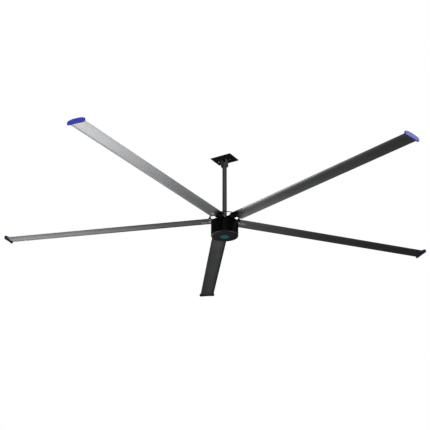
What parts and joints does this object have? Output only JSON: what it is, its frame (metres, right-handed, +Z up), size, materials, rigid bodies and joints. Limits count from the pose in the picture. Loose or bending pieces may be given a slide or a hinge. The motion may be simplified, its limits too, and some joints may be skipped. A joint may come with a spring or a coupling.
{
  "type": "high volume low speed fan",
  "caption": "Large ceiling fan: long hollow aluminium blades with blue tip caps on a black drum motor, hung from a clevis plate on a steel tube.",
  "frame": {"origin": "centre of the ceiling plate's top face", "axes": "+Z up into the ceiling, +X along the plate's long side and the hinge bolt"},
  "size_m": [5.8748, 5.5967, 1.1283],
  "materials": {
    "black_steel": "black powder coat, satin",
    "grey_steel": "dark grey enamel, satin",
    "blade_aluminium": "dark anodised extrusion, semi-gloss",
    "black_casting": "gloss black paint on cast metal",
    "blue_plastic": "moulded blue plastic, semi-gloss",
    "teal_plastic": "moulded teal plastic, gloss",
    "zinc_steel": "zinc plated",
    "bearing_steel": "ground and polished",
    "core_steel": "stacked laminations, varnished",
    "copper_winding": "enamelled copper wire",
    "magnet": "plated sintered magnet",
    "black_rubber": "matt"
  },
  "bodies": {
    "ceiling_mount": {"ceiling_plate": "black_steel", "clevis_bracket": "grey_steel", "clevis_bolt_left": "zinc_steel", "clevis_bolt_right": "zinc_steel", "hinge_bolt": "zinc_steel", "hinge_nut": "zinc_steel"},
    "downtube": {"extension_tube": "grey_steel", "tube_flange": "grey_steel", "flange_bolt_1": "zinc_steel", "flange_bolt_2": "zinc_steel", "flange_bolt_3": "zinc_steel", "flange_bolt_4": "zinc_steel", "lead_grommet": "black_rubber", "motor_shaft": "grey_steel", "shaft_nut": "zinc_steel", "upper_bearing_inner_race": "bearing_steel", "lower_bearing_inner_race": "bearing_steel", "stator_core": "core_steel", "upper_end_winding": "copper_winding", "lower_end_winding": "copper_winding"},
    "upper_cage": {"upper_bearing_ball_cage": "bearing_steel"},
    "lower_cage": {"lower_bearing_ball_cage": "bearing_steel"},
    "rotor": {"top_end_bell": "black_casting", "rotor_housing": "black_casting", "bottom_cover": "black_casting", "badge_disc": "teal_plastic", "magnet_ring": "magnet", "upper_bearing_outer_race": "bearing_steel", "lower_bearing_outer_race": "bearing_steel", "safety_ring": "black_steel", "strut_1": "black_casting", "strut_2": "black_casting", "strut_3": "black_casting", "strut_4": "black_casting", "strut_5": "black_casting", "blade_1": "blade_aluminium", "blade_2": "blade_aluminium", "blade_3": "blade_aluminium", "blade_4": "blade_aluminium", "blade_5": "blade_aluminium", "tip_cap_1": "blue_plastic", "tip_cap_2": "blue_plastic", "tip_cap_3": "blue_plastic", "tip_cap_4": "blue_plastic", "tip_cap_5": "blue_plastic", "ring_post_1": "black_steel", "ring_post_2": "black_steel", "ring_post_3": "black_steel", "ring_post_4": "black_steel", "ring_post_5": "black_steel", "strut_bolt_1": "zinc_steel", "strut_bolt_2": "zinc_steel", "strut_bolt_3": "zinc_steel", "strut_bolt_4": "zinc_steel", "strut_bolt_5": "zinc_steel", "blade_bolt_1": "zinc_steel", "blade_bolt_2": "zinc_steel", "blade_bolt_3": "zinc_steel", "blade_bolt_4": "zinc_steel", "blade_bolt_5": "zinc_steel"}
  },
  "joints": [
    {"name": "clevis_swing", "type": "hinge", "parent": "ceiling_mount", "child": "downtube", "pos_m": [0, 0, -0.095], "axis": [1, 0, 0], "range_deg": [-15, 15]},
    {"name": "rotor_spin", "type": "hinge", "parent": "downtube", "child": "rotor", "pos_m": [0, 0, -0.896], "axis": [0, 0, 1], "continuous": true},
    {"name": "upper_cage_spin", "type": "hinge", "parent": "downtube", "child": "upper_cage", "pos_m": [0, 0, -0.909], "axis": [0, 0, 1], "continuous": true},
    {"name": "lower_cage_spin", "type": "hinge", "parent": "downtube", "child": "lower_cage", "pos_m": [0, 0, -1.098], "axis": [0, 0, 1], "continuous": true}
  ],
  "couplings": [
    {"joint": "upper_cage_spin", "follows": "rotor_spin", "ratio": 0.567},
    {"joint": "lower_cage_spin", "follows": "rotor_spin", "ratio": 0.567}
  ]
}
